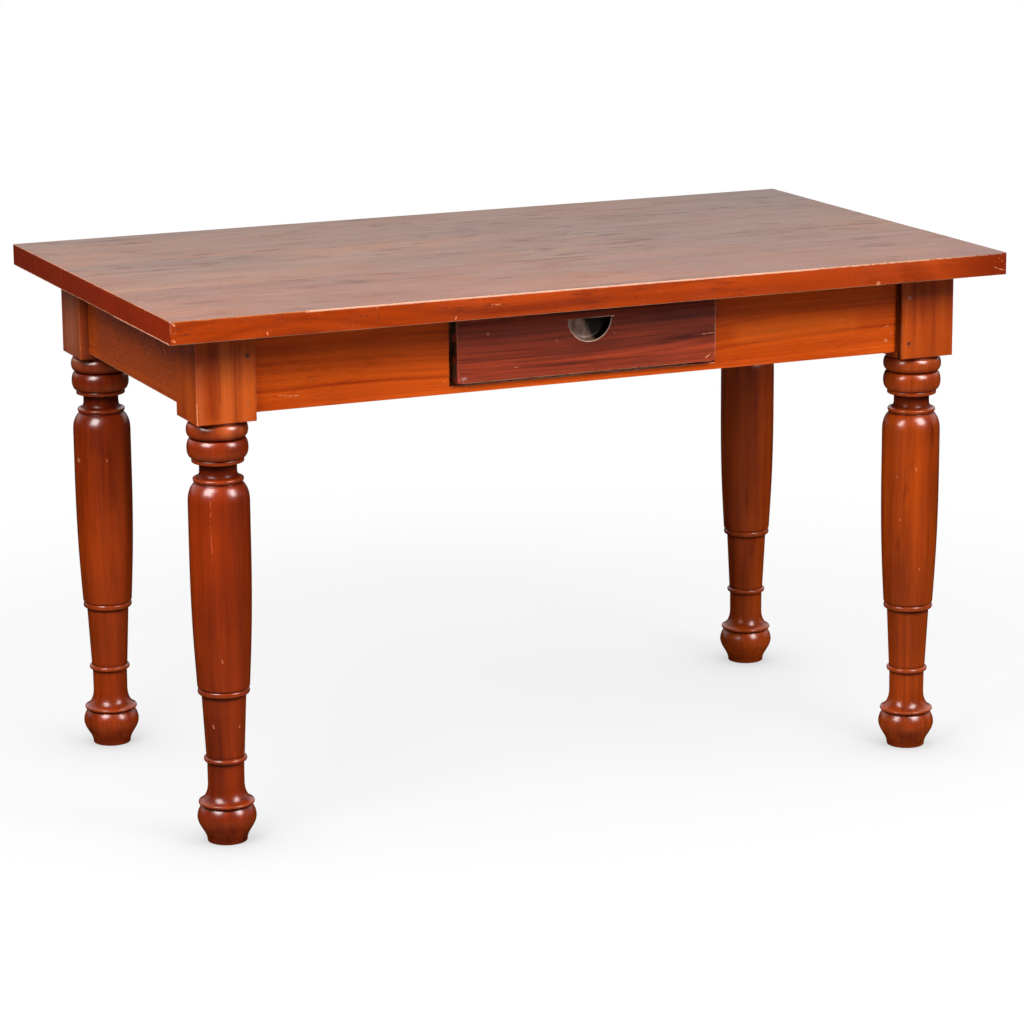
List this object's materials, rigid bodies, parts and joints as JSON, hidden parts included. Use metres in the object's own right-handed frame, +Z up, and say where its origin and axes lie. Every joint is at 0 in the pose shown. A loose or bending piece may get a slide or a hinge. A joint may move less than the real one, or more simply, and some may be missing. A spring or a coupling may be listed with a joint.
{
  "type": "writing table",
  "caption": "Rectangular hardwood writing table with turned legs, a pegged apron frame and a front drawer with a half-moon finger pull.",
  "frame": {"origin": "on the floor, under the middle of the table top", "axes": "+X along the table to its right end seen from the drawer side, -Y towards the drawer side, +Z up"},
  "size_m": [1.3, 0.74, 0.77],
  "materials": {
    "top_wood": "polished hardwood with dark short flecks, worn satin gloss",
    "leg_wood": "glossy red-brown polished hardwood",
    "apron_wood": "polished orange-brown hardwood with long streaks",
    "drawer_front_wood": "dark red-brown streaked hardwood, semi-gloss",
    "bare_wood": "bare aged softwood",
    "peg_wood": "dark end grain under polish",
    "dark_iron": "darkened iron"
  },
  "bodies": {
    "table": {"top_board_front": "top_wood", "top_board_middle": "top_wood", "top_board_rear": "top_wood", "leg_front_left": "leg_wood", "leg_front_right": "leg_wood", "leg_rear_left": "leg_wood", "leg_rear_right": "leg_wood", "apron_front": "apron_wood", "apron_rear": "apron_wood", "apron_left": "apron_wood", "apron_right": "apron_wood", "peg_front_left_lower": "peg_wood", "peg_front_left_upper": "peg_wood", "peg_front_right_lower": "peg_wood", "peg_front_right_upper": "peg_wood", "peg_rear_left_lower": "peg_wood", "peg_rear_left_upper": "peg_wood", "peg_rear_right_lower": "peg_wood", "peg_rear_right_upper": "peg_wood", "drawer_bearer_left": "bare_wood", "drawer_bearer_right": "bare_wood", "drawer_stop_left": "bare_wood", "drawer_stop_right": "bare_wood", "top_button_front_left": "bare_wood", "top_button_front_right": "bare_wood", "top_button_rear_left": "bare_wood", "top_button_rear_middle": "bare_wood", "top_button_rear_right": "bare_wood", "top_button_end_left": "bare_wood", "top_button_end_right": "bare_wood", "button_screw_front_left": "dark_iron", "button_screw_front_right": "dark_iron", "button_screw_rear_left": "dark_iron", "button_screw_rear_middle": "dark_iron", "button_screw_rear_right": "dark_iron", "button_screw_end_left": "dark_iron", "button_screw_end_right": "dark_iron"},
    "drawer": {"drawer_front": "drawer_front_wood", "drawer_side_left": "bare_wood", "drawer_side_right": "bare_wood", "drawer_back": "bare_wood", "drawer_panel": "bare_wood", "panel_nail_1": "dark_iron", "panel_nail_2": "dark_iron", "panel_nail_3": "dark_iron"}
  },
  "joints": [
    {"name": "drawer_slide", "type": "slide", "parent": "table", "child": "drawer", "axis": [0, -1, 0], "range_m": [0, 0.32]}
  ]
}
